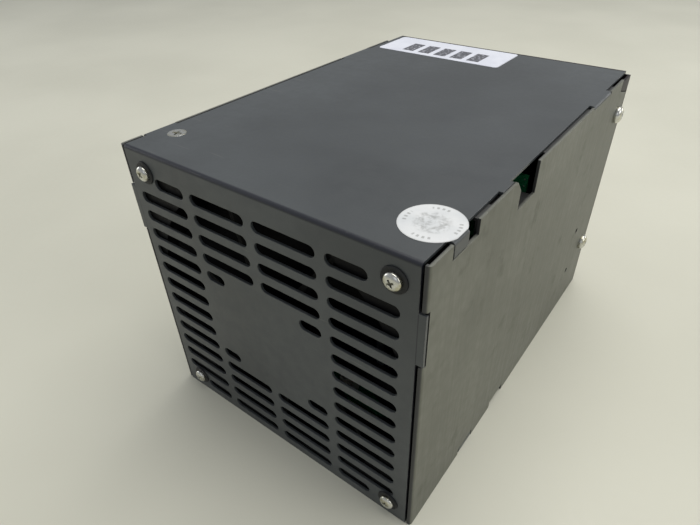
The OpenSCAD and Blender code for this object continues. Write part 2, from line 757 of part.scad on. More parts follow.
module insulating_sheet() color([0.85, 0.85, 0.8]) in_row_frame() difference() {
    slab([11.4, 30, sheet + 0.05], [case_w - 11.4, 169, sheet + 0.45]);
    pillars() cylinder(r = 3.6, h = 3);
}

module main_board() color([0.07, 0.32, 0.17]) in_row_frame() difference() {
    slab([4, 28.5, board_z], [case_w - 4, 170, board_top]);
    pillars() translate([0, 0, board_z - cut]) cylinder(r = 1.6, h = 4);
}

module control_board() color([0.07, 0.38, 0.2]) in_row_frame()
    slab([control_board_x[0], control_board_y, parts_z],
         [control_board_x[1], control_board_y + board_t, control_board_top]);

module standoffs() color([0.72, 0.6, 0.3]) in_row_frame() pillars() difference() {
    translate([0, 0, sheet + 0.02]) cylinder(r = 3, h = board_z - sheet - 0.04, $fn = 6);
    translate([0, 0, sheet + 2]) cylinder(r = 1.35, h = 20);
}

module board_screws() color([0.7, 0.7, 0.68]) in_row_frame() pillars() {
    translate([0, 0, board_top]) pan_head(2.7, 1.8);
    translate([0, 0, board_top - 5]) cylinder(r = 1.25, h = 5);
}

// Two windings on one upright ring
module line_filter_choke() color([0.65, 0.4, 0.2]) in_row_frame() translate([98, 150, parts_z]) {
    slab([-13, -13, 0], [13, 13, 2]);
    translate([0, 0, 2]) difference() {
        cylinder(r = 13.5, h = 14);
        translate([0, 0, -cut]) cylinder(r = 6.5, h = 17);
        slab([-20, -1, 1.5], [20, 1, 20]);
    }
}

module filter_capacitors() color([0.75, 0.62, 0.12]) in_row_frame()
    for (y = [104, 118]) slab([84, y, parts_z], [111, y + 10, parts_z + 19]);

module fuse() color([0.8, 0.8, 0.78]) in_row_frame() {
    translate([118, 100, 15.5]) rod_y(2.5, 22);
    for (y = [99, 118]) slab([115.2, y, parts_z], [120.8, y + 5, 14]);
}

module bulk_capacitors() color([0.1, 0.12, 0.2]) in_row_frame()
    for (x = [72, 104]) translate([x, 52, parts_z]) difference() {
        cylinder(r = 15, h = 50);
        translate([0, 0, 46]) difference() {
            cylinder(r = 16, h = 0.8);
            translate([0, 0, -cut]) cylinder(r = 14.3, h = 3);
        }
    }

// Upright plate with fins towards -x
module heatsink(x, y0, y1, z1, reach, fins) {
    slab([x, y0, parts_z + 2], [x + 4, y1, z1]);
    for (i = [0:fins - 1]) {
        y = y0 + i * (y1 - y0 - 1.5) / (fins - 1);
        slab([x - reach, y, parts_z + 2], [x, y + 1.5, z1]);
    }
    for (y = [y0 + 6, y1 - 6]) translate([x + 2, y, parts_z]) cylinder(r = 1, h = 3);
}

module input_heatsink() color([0.7, 0.7, 0.72]) in_row_frame() heatsink(44, 36, 70, 72, 12, 5);
module output_heatsink() color([0.7, 0.7, 0.72]) in_row_frame() heatsink(20, 34, 76, 80, 15, 6);

module power_transistors() color([0.06, 0.06, 0.07]) in_row_frame() {
    for (y = [35, 48, 61]) power_package([24.05, y, 30]);
    for (y = [38, 54]) power_package([48.05, y, 28]);
}

module power_package(at) translate(at) {
    slab([0, 0, 0], [4.4, 11, 17]);
    for (y = [2, 5, 8]) slab([1.8, y, 9.7 - at[2] + 0.05], [2.6, y + 1, 0]);
}

module transformer_core() color([0.18, 0.18, 0.19]) in_row_frame() difference() {
    slab([20, 90, parts_z], [70, 110, 52]);
    for (x = [27, 53]) slab([x, 80, 17], [x + 10, 120, 45]);
}

module transformer_winding() color([0.85, 0.6, 0.15]) in_row_frame() difference() {
    slab([27.4, 82.5, 17.4], [62.6, 117.5, 44.6]);
    slab([36.7, 89.7, 0], [53.3, 110.3, 60]);
}

module output_choke() color([0.7, 0.42, 0.18]) in_row_frame() translate([38, 134, parts_z]) difference() {
    cylinder(r = 15, h = 16);
    translate([0, 0, -cut]) cylinder(r = 6, h = 20);
}

module output_capacitors() color([0.12, 0.14, 0.25]) in_row_frame()
    for (i = [0:3]) translate([13 + 17.5 * i, 159.5, parts_z]) cylinder(r = 8, h = 32);

cover();
base_plate();
end_plate();
side_panel_left();
side_panel_right();
corner_rails();
cover_screws();
side_screws();
base_screws();
fan_screws();
fan_washers();
inventory_label();
round_seal();
fan_frame();
fan_rotor();
fan_stator();
fan_lead();
fan_plug();
din_adapter();
din_latch();
latch_spring();
adapter_screws();
input_terminal_base();
output_terminal_base();
terminal_contacts();
status_led();
trimmer_body();
trimmer_rotor();
earth_stud();
earth_nut();
insulating_sheet();
main_board();
control_board();
standoffs();
board_screws();
line_filter_choke();
filter_capacitors();
fuse();
bulk_capacitors();
input_heatsink();
output_heatsink();
power_transistors();
transformer_core();
transformer_winding();
output_choke();
output_capacitors();
for (i = [1:POLES]) {
    clamp_plate(i);
    clamp_screw(i);
}
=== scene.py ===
"""Looks of a fan-cooled DIN rail power supply in a folded sheet case.

Sizes of screws and outlines are in millimetres, as are those multiplied by MM; Blender gets metres.
Places given to at() count from the case's lower near left corner, where the fan grille meets the table.
"""

import json
import math

import bmesh
import bpy
from mathutils import Matrix, Vector


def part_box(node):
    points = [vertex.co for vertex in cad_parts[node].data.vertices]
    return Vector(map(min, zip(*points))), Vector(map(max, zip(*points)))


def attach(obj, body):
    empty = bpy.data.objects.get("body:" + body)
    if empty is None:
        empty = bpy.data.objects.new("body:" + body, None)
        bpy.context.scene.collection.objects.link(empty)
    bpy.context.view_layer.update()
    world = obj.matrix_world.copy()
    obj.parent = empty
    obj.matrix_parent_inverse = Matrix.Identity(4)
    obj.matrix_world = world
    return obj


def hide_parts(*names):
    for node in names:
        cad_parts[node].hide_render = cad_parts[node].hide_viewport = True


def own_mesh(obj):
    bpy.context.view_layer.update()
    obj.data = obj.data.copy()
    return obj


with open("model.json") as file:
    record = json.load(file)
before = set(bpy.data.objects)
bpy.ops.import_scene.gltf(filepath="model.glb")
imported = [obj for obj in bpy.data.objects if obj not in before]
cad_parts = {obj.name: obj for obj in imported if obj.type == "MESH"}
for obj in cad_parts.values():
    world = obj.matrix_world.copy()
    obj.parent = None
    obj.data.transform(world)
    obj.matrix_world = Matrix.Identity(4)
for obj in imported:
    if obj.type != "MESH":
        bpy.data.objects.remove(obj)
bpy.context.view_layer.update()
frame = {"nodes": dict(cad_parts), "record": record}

MM = 0.001
cover_low, cover_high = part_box("cover")
CORNER = Vector((cover_low.x, cover_low.y, 0))
CASE_H = cover_high.z
CASE_W = cover_high.x - cover_low.x
# outer radius of the fold between grille and top
FOLD_R = 1.2 * MM
# from a side panel's outer face in to the cover's edge
EDGE_GAP = 2.4 * MM
PANEL_SHEET = 1.0 * MM
# edges that bend more than this stay sharp
SHARP_ANGLE = math.radians(38)
# points closer than this become one
SEAM = 0.0005 * MM
SCREW_STEPS = 48


def at(x, y, z):
    """A place in the row frame, from millimetres along the case."""
    return CORNER + Vector((x, y, z)) * MM


def tone(red, green, blue):
    """A linear colour from the display values that a paint card gives, 0 to 1."""
    linear = [c / 12.92 if c <= 0.04045 else ((c + 0.055) / 1.055) ** 2.4 for c in (red, green, blue)]
    return (*linear, 1)


# ---- camera, light and floor ----

def set_camera():
    """Looks down at the near right corner, from rather more than one and a half case heights."""
    yaw, tilt, roll = 37.2108, -36.3717, 1.2161
    data = bpy.data.cameras.new("camera")
    data.sensor_width = 36
    data.lens = 27.07
    data.shift_x = -0.01233
    data.shift_y = -0.00232
    data.clip_start = 0.01
    camera = bpy.data.objects.new("camera", data)
    camera.location = at(173.49, -89.42, 196.85)
    turn = Matrix.Rotation(math.radians(yaw), 3, "Z") @ Matrix.Rotation(math.radians(90 + tilt), 3, "X")
    turn = turn @ Matrix.Rotation(math.radians(-roll), 3, "Z")
    camera.rotation_euler = turn.to_euler()
    bpy.context.scene.collection.objects.link(camera)
    bpy.context.scene.camera = camera


def soft_light(name, place, size, power, colour=(1, 1, 1), aim_height=0.06):
    """A square area light at place, turned towards a point over the middle of the table."""
    data = bpy.data.lights.new(name, "AREA")
    data.size = size
    data.energy = power
    data.color = colour
    lamp = bpy.data.objects.new(name, data)
    lamp.location = place
    aim = Vector((0, 0, aim_height)) - Vector(place)
    lamp.rotation_euler = aim.to_track_quat("-Z", "Y").to_euler()
    bpy.context.scene.collection.objects.link(lamp)


def set_studio():
    """A cool dim surround, a broad light overhead, and weaker ones all round."""
    world = bpy.data.worlds.new("studio")
    world.use_nodes = True
    surround = world.node_tree.nodes["Background"].inputs
    surround["Color"].default_value = (0.93, 0.96, 1, 1)
    surround["Strength"].default_value = 0.38
    bpy.context.scene.world = world
    bpy.context.scene.view_settings.view_transform = "Standard"
    warm, warmer, cool = (1, 0.985, 0.95), (1, 0.98, 0.94), (0.92, 0.96, 1)
    soft_light("overhead", (0.1, 0.35, 1.3), size=1.1, power=12.5, colour=warm, aim_height=0.05)
    soft_light("right_side", (1.25, 0.15, 0.75), size=0.8, power=3.9, colour=warmer)
    soft_light("near_side", (0.5, -1.3, 0.8), size=0.7, power=0.9, colour=cool)
    soft_light("left_fill", (-1.2, -0.3, 0.3), size=0.5, power=1.8)
    soft_light("far_fill", (0.75, 1.1, 0.35), size=0.5, power=2.0)


# ---- shader tools ----

class Value:
    """A shader socket that works in Python sums, each of which adds a Math node."""

    def __init__(self, finish, socket):
        self.finish = finish
        self.socket = socket

    def math(self, operation, *values):
        return self.finish.node("Math", {"operation": operation}, values)

    def __add__(self, other):
        return self.math("ADD", self, other)

    def __radd__(self, other):
        return self.math("ADD", other, self)

    def __sub__(self, other):
        return self.math("SUBTRACT", self, other)

    def __rsub__(self, other):
        return self.math("SUBTRACT", other, self)

    def __mul__(self, other):
        return self.math("MULTIPLY", self, other)

    def __rmul__(self, other):
        return self.math("MULTIPLY", other, self)

    def __abs__(self):
        return self.math("ABSOLUTE", self)

    def __lt__(self, other):
        return self.math("LESS_THAN", self, other)

    def __gt__(self, other):
        return self.math("GREATER_THAN", self, other)

    def most(self, other):
        return self.math("MAXIMUM", self, other)

    def sine(self):
        return self.math("SINE", self)

    def folded(self, width):
        """Runs up from 0 to width and back down, over and over."""
        return self.math("PINGPONG", self, width)


class Finish:
    """A material under construction: node() adds any node, shade() feeds the surface shader."""

    def __init__(self, name):
        self.material = bpy.data.materials.new(name)
        self.material.use_nodes = True
        self.tree = self.material.node_tree
        self.shader = self.tree.nodes["Principled BSDF"]

    def node(self, kind, settings=None, inputs=(), output=0):
        made = self.tree.nodes.new("ShaderNode" + kind)
        for name, value in (settings or {}).items():
            setattr(made, name, value)
        pairs = inputs.items() if isinstance(inputs, dict) else enumerate(inputs)
        for key, value in pairs:
            self.feed(made.inputs[key], value)
        return Value(self, made.outputs[output])

    def feed(self, target, value):
        if isinstance(value, Value):
            self.tree.links.new(value.socket, target)
        else:
            target.default_value = value

    def shade(self, **inputs):
        """Feeds the shader; a name such as base_color stands for the socket Base Color."""
        titles = {"ior": "IOR", "specular": "Specular IOR Level"}
        for name, value in inputs.items():
            title = titles.get(name, name.replace("_", " ").title())
            self.feed(self.shader.inputs[title], value)
        return self.material

    def place(self):
        return self.node("TexCoord", output="Object")

    def moved(self, place, origin=(0, 0, 0), turn=(0, 0, 0), scale=(1, 1, 1)):
        """The place counted from origin, then turned and scaled."""
        shifted = self.node("VectorMath", {"operation": "SUBTRACT"}, [place, origin])
        return self.node("Mapping", {}, {"Vector": shifted, "Rotation": turn, "Scale": scale})

    def parts(self, place):
        """The three coordinates of a place."""
        return [self.node("SeparateXYZ", {}, [place], output=axis) for axis in "XYZ"]

    def noise(self, place, scale, detail=2.0, roughness=0.5):
        """Soft clouds between 0 and 1, scale of them to the metre."""
        inputs = {"Vector": place, "Scale": scale, "Detail": detail, "Roughness": roughness}
        return self.node("TexNoise", {}, inputs)

    def cells(self, place, scale, randomness=1.0, distance="EUCLIDEAN"):
        """The distance to the nearest of scattered points, scale of them to the metre."""
        inputs = {"Vector": place, "Scale": scale, "Randomness": randomness}
        return self.node("TexVoronoi", {"distance": distance}, inputs, output="Distance")

    def between(self, value, low, high, start=0.0, end=1.0):
        """Rises smoothly from start to end while value goes from low to high."""
        inputs = {"Value": value, "From Min": low, "From Max": high, "To Min": start, "To Max": end}
        return self.node("MapRange", {"interpolation_type": "SMOOTHSTEP"}, inputs)

    def mix(self, share, first, second):
        """The first colour, with this share of the second."""
        return self.node("Mix", {"data_type": "RGBA"}, {0: share, 6: first, 7: second}, output=2)

    def bump(self, height, depth, strength=1.0, normal=None):
        """A normal that rises and falls with height, on top of the given normal."""
        inputs = {"Height": height, "Distance": depth, "Strength": strength}
        if normal is not None:
            inputs["Normal"] = normal
        return self.node("Bump", {}, inputs)

    def soft_edges(self, radius):
        """A normal that rounds every edge, and a mask that is 1 along the edges."""
        rounded = self.node("Bevel", {"samples": 4}, {"Radius": radius})
        flat = self.node("NewGeometry", output="Normal")
        likeness = self.node("VectorMath", {"operation": "DOT_PRODUCT"}, [rounded, flat], output="Value")
        return rounded, self.between(1 - likeness, 0.015, 0.2)


# ---- finishes ----

def sheet_paint(name, colour, painted_fold_shade=False, shine=0.5):
    """Powder coat on folded sheet: faint orange peel, clouding, dust, rubs and bare edges.

    The fold flag adds painted shade: a blue-black line along the top fold and the grille's side edges.
    """
    finish = Finish(name)
    place = finish.place()
    normal, edge = finish.soft_edges(0.35 * MM)
    cloud = finish.noise(place, 14, 3)
    mottle = finish.noise(place, 170, 4, 0.6)
    dust = finish.between(finish.noise(place, 1500, 2, 0.7), 0.66, 0.8)
    streaks = finish.noise(finish.moved(place, turn=(0, 0, 0.5), scale=(40, 900, 900)), 1, 3, 0.6)
    rub = finish.between(streaks, 0.67, 0.74) * finish.between(cloud, 0.48, 0.62)
    worn = finish.between(edge * finish.noise(place, 420, 3, 0.7), 0.42, 0.62)

    dark = tuple(c * 0.8 for c in colour[:3]) + (1,)
    light = tuple(c * 1.18 for c in colour[:3]) + (1,)
    paint = finish.mix(finish.between(cloud, 0.32, 0.68), dark, light)
    pale = tuple(c * 0.9 + 0.004 for c in colour[:3]) + (1,)
    paint = finish.mix(finish.between(mottle, 0.35, 0.75, 0, 0.3), paint, pale)
    # Painted shade: the fold and the grille's cut side edges are painted blue-black, as if in shade.
    if painted_fold_shade:
        across, along, height = finish.parts(finish.moved(place, origin=CORNER))
        within, past = FOLD_R - 0.3 * MM, FOLD_R + 0.4 * MM
        near = finish.between(along, within, past, 1, 0)
        high = finish.between(height, CASE_H - past, CASE_H - within)
        outward = abs(across - CASE_W / 2)
        side_edge = CASE_W / 2 - EDGE_GAP
        rim = finish.between(outward, side_edge - 0.2 * MM, side_edge - 0.05 * MM)
        rim = rim * finish.between(outward, side_edge + 0.1 * MM, side_edge + 0.2 * MM, 1, 0)
        painted_crease_shade = (near * high * 0.85).most(rim * (along < FOLD_R) * 0.9)
        paint = finish.mix(painted_crease_shade, paint, tone(0.07, 0.08, 0.13))
    paint = finish.mix((dust * 0.22).most(rub * 0.2), paint, tone(0.62, 0.61, 0.58))
    paint = finish.mix(worn * shine, paint, tone(0.6, 0.6, 0.58))
    peel = finish.noise(place, 1100, 2)
    gloss = finish.between(mottle, 0.3, 0.7, 0.4, 0.5) + dust * 0.2
    return finish.shade(
        base_color=paint,
        metallic=worn * 0.6 * shine,
        roughness=gloss,
        specular=shine,
        coat_weight=0.12 * shine,
        coat_roughness=0.3,
        normal=finish.bump(peel + rub * -0.4, 0.05 * MM, 0.45, normal),
    )


def zinc_sheet():
    """Dull passivated zinc: faint rolling lines, soft spangle and finger marks.

    Painted shade darkens the sheet's inner side and the faces that turn towards the grille's end.
    """
    finish = Finish("zinc_sheet")
    place = finish.place()
    normal, edge = finish.soft_edges(0.3 * MM)
    cloud = finish.noise(place, 22, 3)
    spangle = finish.cells(place, 260)
    rolled = finish.noise(finish.moved(place, scale=(700, 700, 18)), 1, 3, 0.6)
    marks = finish.between(finish.noise(place, 75, 5, 0.65), 0.55, 0.72)
    metal = finish.mix(finish.between(cloud, 0.3, 0.7), tone(0.43, 0.435, 0.405), tone(0.49, 0.495, 0.465))
    metal = finish.mix(finish.between(spangle, 0.1, 0.8, 0, 0.3), metal, tone(0.38, 0.38, 0.345))
    metal = finish.mix(finish.between(rolled, 0.35, 0.7, 0, 0.2), metal, tone(0.54, 0.54, 0.51))
    metal = finish.mix(marks * 0.22, metal, tone(0.33, 0.325, 0.28))
    metal = finish.mix(edge * 0.3, metal, tone(0.56, 0.56, 0.54))
    across, _, _ = finish.parts(finish.moved(place, origin=CORNER))
    inner_face = CASE_W / 2 - PANEL_SHEET - 0.02 * MM
    skin = finish.between(abs(across - CASE_W / 2), inner_face, CASE_W / 2 - PANEL_SHEET / 2)
    # Painted shade: faces turned towards the grille's end, and the panel's inner face, are darkened as if
    # in shade.
    _, facing_far, _ = finish.parts(finish.node("TexCoord", output="Normal"))
    near_face_shade = finish.between(facing_far, -0.95, -0.55, 1, 0)
    painted_shade = (near_face_shade * 0.8).most((1 - skin) * 0.7)
    metal = finish.mix(painted_shade, metal, tone(0.2, 0.2, 0.225))
    return finish.shade(
        base_color=metal,
        metallic=0.72,
        roughness=finish.between(rolled, 0.3, 0.7, 0.46, 0.58) + marks * 0.08,
        normal=finish.bump(rolled + spangle * 0.5, 0.02 * MM, 0.6, normal),
    )


def bright_metal(name, colour, roughness, tint, lines=(500, 500, 500)):
    """Plated or machined metal with fine tool lines and a slight tarnish."""
    finish = Finish(name)
    place = finish.place()
    normal, edge = finish.soft_edges(0.15 * MM)
    tool = finish.noise(finish.moved(place, scale=lines), 1, 3, 0.6)
    tarnish = finish.noise(place, 330, 4, 0.6)
    metal = finish.mix(finish.between(tarnish, 0.4, 0.72), colour, tint)
    metal = finish.mix(edge * 0.35, metal, tone(0.86, 0.86, 0.84))
    return finish.shade(
        base_color=metal,
        metallic=0.95,
        roughness=finish.between(tool, 0.3, 0.7, roughness * 0.8, roughness * 1.25),
        normal=finish.bump(tool, 0.01 * MM, 0.5, normal),
    )


def moulded(name, colour, roughness=0.45, grain=1300, coat=0.0, shine=0.5):
    """Moulded plastic: fine grain, slight colour drift and pale rubbed edges."""
    finish = Finish(name)
    place = finish.place()
    normal, edge = finish.soft_edges(0.3 * MM)
    cloud = finish.noise(place, 60, 3)
    skin = finish.noise(place, grain, 2, 0.6)
    lighter = tuple(min(1, c * 1.35 + 0.006) for c in colour[:3]) + (1,)
    plastic = finish.mix(finish.between(cloud, 0.3, 0.75), colour, lighter)
    plastic = finish.mix(edge * shine * 0.5, plastic, tone(0.55, 0.55, 0.55))
    return finish.shade(
        base_color=plastic,
        specular=shine,
        roughness=finish.between(skin, 0.3, 0.7, roughness * 0.85, roughness * 1.2),
        coat_weight=coat,
        normal=finish.bump(skin, 0.03 * MM, 0.4, normal),
    )


def paper_grain(finish, place):
    """Height and shade of a printed film: very fine, with a few soft dents."""
    return finish.noise(place, 900, 3, 0.6), finish.noise(place, 110, 3)


def label_film():
    """White rounded sticker with a row of plain dark bars in place of print."""
    finish = Finish("label_film")
    low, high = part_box("inventory_label")
    place = finish.moved(finish.place(), origin=low)
    along, across, _ = finish.parts(place)
    grain, dents = paper_grain(finish, finish.place())
    first, pitch, count, row = 11.6 * MM, 9.3 * MM, 5, 10.2 * MM
    inside = (along > first) * (along < first + pitch * count)
    wide = finish.between((along - first).folded(pitch / 2), 1.2 * MM, 1.6 * MM)
    tall = finish.between(abs(across - row), 6.6 * MM, 7.1 * MM, 1, 0)
    bars = inside * wide * tall
    patchy = finish.between(finish.noise(place, 700, 3), 0.2, 0.5)
    base = finish.mix(finish.between(dents, 0.35, 0.7), tone(0.85, 0.86, 0.9), tone(0.88, 0.89, 0.925))
    half = (high.x - low.x) / 2
    edge_dirt = finish.between(abs(along - half), half - 0.8 * MM, half)
    base = finish.mix(edge_dirt * 0.3, base, tone(0.6, 0.6, 0.6))
    ink = finish.mix(bars * patchy * 0.92, base, tone(0.2, 0.2, 0.23))
    return finish.shade(
        base_color=ink,
        roughness=finish.between(grain, 0.3, 0.7, 0.42, 0.55),
        normal=finish.bump(grain + dents, 0.03 * MM, 0.4),
    )


def seal_film():
    """White round seal with a faint dashed ring and a plain three-sided mark in grey."""
    finish = Finish("seal_film")
    low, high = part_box("round_seal")
    radius = (high.y - low.y) / 2
    place = finish.moved(finish.place(), origin=(low.x + radius, low.y + radius, 0))
    along, across, _ = finish.parts(place)
    flat = finish.node("CombineXYZ", {}, [along, across, 0.0])
    reach = finish.node("VectorMath", {"operation": "LENGTH"}, [flat], output="Value")
    angle = finish.node("Math", {"operation": "ARCTAN2"}, [across, along])
    grain, dents = paper_grain(finish, finish.place())
    ring = finish.between(abs(reach - 7.7 * MM), 0.25 * MM, 0.75 * MM, 1, 0)
    dashes = finish.between((angle * 31.0).sine(), -0.3, 0.5)
    arcs = finish.between((angle * 4.0 + 1.0).sine(), -0.1, 0.3)
    turns = [math.radians(turn) for turn in (90, 210, 330)]
    first, second, third = [along * math.cos(turn) + across * math.sin(turn) for turn in turns]
    sides = first.most(second).most(third)
    outline = finish.between(abs(sides - 2.6 * MM), 0.2 * MM, 0.7 * MM, 1, 0)
    smudge = finish.between(finish.noise(place, 520, 4, 0.7), 0.4, 0.66)
    middle = finish.between(reach, 4.6 * MM, 6.0 * MM, 1, 0)
    marks = (ring * dashes * arcs * 0.5).most(outline * middle * (0.15 + smudge * 0.4))
    marks = marks.most(smudge * middle * 0.4)
    base = finish.mix(finish.between(dents, 0.35, 0.7), tone(0.83, 0.84, 0.845), tone(0.875, 0.88, 0.88))
    rim = finish.between(reach, 9.0 * MM, 9.6 * MM)
    base = finish.mix(rim * 0.3, base, tone(0.66, 0.66, 0.64))
    base = finish.mix(marks, base, tone(0.42, 0.42, 0.4))
    return finish.shade(
        base_color=base,
        roughness=finish.between(grain, 0.3, 0.7, 0.4, 0.52),
        normal=finish.bump(grain + dents, 0.03 * MM, 0.4),
    )


def circuit_board():
    """Solder mask over copper: raised tracks, tinned pads and a faint glass weave."""
    finish = Finish("board_green")
    place = finish.place()
    squares = finish.cells(place, 230, randomness=0.55, distance="CHEBYCHEV")
    tracks = finish.between(abs(squares - 0.42), 0.035, 0.06, 1, 0)
    pads = finish.between(finish.cells(place, 390, randomness=0.0), 0.19, 0.23, 1, 0)
    chosen = finish.between(finish.noise(place, 120, 2), 0.52, 0.55)
    weave = finish.noise(place, 2300, 2)
    mask = finish.mix(finish.between(weave, 0.3, 0.7), tone(0.06, 0.4, 0.24), tone(0.1, 0.5, 0.31))
    mask = finish.mix(tracks * 0.6, mask, tone(0.17, 0.55, 0.33))
    mask = finish.mix(pads * chosen, mask, tone(0.78, 0.78, 0.76))
    return finish.shade(
        base_color=mask,
        metallic=pads * chosen,
        roughness=finish.between(weave, 0.3, 0.7, 0.25, 0.38),
        normal=finish.bump(tracks + pads * chosen + weave * 0.2, 0.04 * MM, 0.7),
    )


def wound_wire(name, colour, groove_shade_colour, turns):
    """Enamelled copper laid side by side; turns is how many fit in a metre."""
    finish = Finish(name)
    place = finish.place()
    _, _, height = finish.parts(place)
    lay = (height * (turns * math.tau)).sine()
    cloud = finish.noise(place, 240, 3)
    # Painted shade: the grooves between neighbouring turns are painted darker.
    wire = finish.mix(finish.between(lay, -0.8, 0.3), groove_shade_colour, colour)
    wire = finish.mix(finish.between(cloud, 0.4, 0.75, 0, 0.3), wire, tone(0.85, 0.55, 0.32))
    return finish.shade(
        base_color=wire,
        metallic=0.75,
        roughness=finish.between(cloud, 0.3, 0.7, 0.25, 0.4),
        normal=finish.bump(lay, 0.12 * MM, 0.8),
    )


def sleeve():
    """Shrunk capacitor sleeve with a pale stripe down one side of each can."""
    finish = Finish("capacitor_sleeve")
    place = finish.place()
    normal, _ = finish.soft_edges(0.4 * MM)
    across, _, _ = finish.parts(place)
    wrinkle = finish.noise(finish.moved(place, scale=(60, 60, 500)), 1, 3)
    stripe = (across + 1.0).folded(8.0 * MM)
    pale = finish.between(stripe, 0.9 * MM, 1.1 * MM, 1, 0)
    film = finish.mix(finish.between(wrinkle, 0.3, 0.7), tone(0.11, 0.13, 0.24), tone(0.15, 0.18, 0.32))
    film = finish.mix(pale * 0.8, film, tone(0.72, 0.74, 0.78))
    return finish.shade(
        base_color=film,
        roughness=finish.between(wrinkle, 0.3, 0.7, 0.22, 0.34),
        normal=finish.bump(wrinkle, 0.1 * MM, 0.4, normal),
    )


def fuse_glass():
    """Clear tube with a smoky tinge and wiped dust."""
    finish = Finish("fuse_glass")
    place = finish.place()
    dust = finish.between(finish.noise(place, 700, 3), 0.45, 0.7)
    return finish.shade(
        base_color=finish.mix(dust * 0.3, tone(0.9, 0.93, 0.92), tone(0.7, 0.7, 0.68)),
        roughness=finish.between(dust, 0, 1, 0.05, 0.25),
        alpha=finish.between(dust, 0, 1, 0.42, 0.62),
        ior=1.5,
    )


def indicator_lens():
    """Tinted indicator lens, unlit, with swirl marks."""
    finish = Finish("led_green")
    place = finish.place()
    swirl = finish.noise(place, 900, 3)
    lens = finish.mix(finish.between(swirl, 0.3, 0.7), tone(0.2, 0.62, 0.3), tone(0.35, 0.78, 0.42))
    return finish.shade(
        base_color=lens,
        roughness=finish.between(swirl, 0.3, 0.7, 0.1, 0.2),
        normal=finish.bump(swirl, 0.02 * MM, 0.3),
    )


def tape():
    """Polyester tape wound round the transformer: overlapping bands with a glossy face."""
    finish = Finish("winding_tape")
    place = finish.place()
    along, _, _ = finish.parts(place)
    lap = (along + 1.0).folded(3.0 * MM)
    seam = finish.between(lap, 0.0, 0.25 * MM, 1, 0)
    cloud = finish.noise(place, 160, 3)
    film = finish.mix(finish.between(cloud, 0.3, 0.7), tone(0.86, 0.66, 0.16), tone(0.93, 0.75, 0.25))
    film = finish.mix(seam * 0.5, film, tone(0.6, 0.42, 0.1))
    return finish.shade(
        base_color=film,
        roughness=finish.between(cloud, 0.3, 0.7, 0.22, 0.35),
        normal=finish.bump(lap, 0.6, 0.3),
    )


STEEL_TINT = tone(0.62, 0.6, 0.5)

finishes = {
    "case_paint": sheet_paint("case_paint", tone(0.265, 0.28, 0.287), painted_fold_shade=True),
    "end_plate_paint": sheet_paint("end_plate_paint", tone(0.13, 0.105, 0.11), shine=0.15),
    "zinc_sheet": zinc_sheet(),
    "zinc_screw": bright_metal("zinc_screw", tone(0.83, 0.83, 0.81), 0.24, tone(0.7, 0.68, 0.56)),
    "black_washer": moulded("black_washer", tone(0.1, 0.105, 0.11), 0.5, 900, shine=0.3),
    "label_film": label_film(),
    "seal_film": seal_film(),
    "black_plastic": moulded("black_plastic", tone(0.03, 0.03, 0.035), 0.5, shine=0.1),
    "copper_winding": wound_wire("copper_winding", tone(0.75, 0.42, 0.2), tone(0.3, 0.14, 0.06), 900),
    "wire_sleeve": moulded("wire_sleeve", tone(0.62, 0.08, 0.07), 0.4, 900),
    "plug_plastic": moulded("plug_plastic", tone(0.88, 0.86, 0.8), 0.4),
    "adapter_metal": sheet_paint("adapter_metal", tone(0.2, 0.205, 0.21), shine=0.4),
    "latch_steel": bright_metal("latch_steel", tone(0.76, 0.76, 0.74), 0.32, STEEL_TINT, (900, 60, 900)),
    "brass_parts": bright_metal("brass_parts", tone(0.85, 0.72, 0.42), 0.28, tone(0.62, 0.48, 0.25)),
    "board_green": circuit_board(),
    "led_green": indicator_lens(),
    "trimmer_blue": moulded("trimmer_blue", tone(0.12, 0.25, 0.66), 0.35, 1100, 0.2),
    "trimmer_white": moulded("trimmer_white", tone(0.88, 0.87, 0.83), 0.4),
    "insulator_film": moulded("insulator_film", tone(0.85, 0.84, 0.74), 0.35, 500),
    "capacitor_yellow": moulded("capacitor_yellow", tone(0.86, 0.72, 0.16), 0.3, 900, 0.3),
    "capacitor_sleeve": sleeve(),
    "fuse_glass": fuse_glass(),
    "heatsink_aluminium": bright_metal(
        "heatsink_aluminium", tone(0.82, 0.83, 0.84), 0.34, tone(0.7, 0.7, 0.7), (900, 900, 40)
    ),
    "ferrite": moulded("ferrite", tone(0.2, 0.2, 0.21), 0.6, 700),
    "winding_tape": tape(),
}


def dress_cad_nodes():
    """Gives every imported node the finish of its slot."""
    for part in frame["record"]["subparts"]:
        mesh = frame["nodes"][part["node"]].data
        mesh.materials.clear()
        mesh.materials.append(finishes[part["material_slot"]])


# ---- shape tools ----

def mesh_of(bm, name):
    """Closes seams, turns the faces outwards and hands the bmesh over as a mesh."""
    bmesh.ops.remove_doubles(bm, verts=bm.verts, dist=SEAM)
    bmesh.ops.recalc_face_normals(bm, faces=bm.faces)
    mesh = bpy.data.meshes.new(name)
    bm.to_mesh(mesh)
    bm.free()
    return mesh


def linked(name, mesh):
    """An object for the mesh, in the scene and at the origin."""
    piece = bpy.data.objects.new(name, mesh)
    bpy.context.scene.collection.objects.link(piece)
    return piece


def carve(blank, cutter):
    """What is left of the mesh blank after the mesh cutter is cut out of it."""
    body = linked("blank", blank)
    tool = linked("cutter", cutter)
    cut = body.modifiers.new("cut", "BOOLEAN")
    cut.object = tool
    cut.operation = "DIFFERENCE"
    cut.solver = "EXACT"
    left = bpy.data.meshes.new_from_object(body.evaluated_get(bpy.context.evaluated_depsgraph_get()))
    bpy.data.objects.remove(body)
    bpy.data.objects.remove(tool)
    return left


def add_copies(bm, mesh, places):
    """Adds a copy of mesh at each place, which is a matrix."""
    for place in places:
        before = len(bm.verts)
        bm.from_mesh(mesh)
        bm.verts.ensure_lookup_table()
        bmesh.ops.transform(bm, matrix=place, verts=bm.verts[before:])


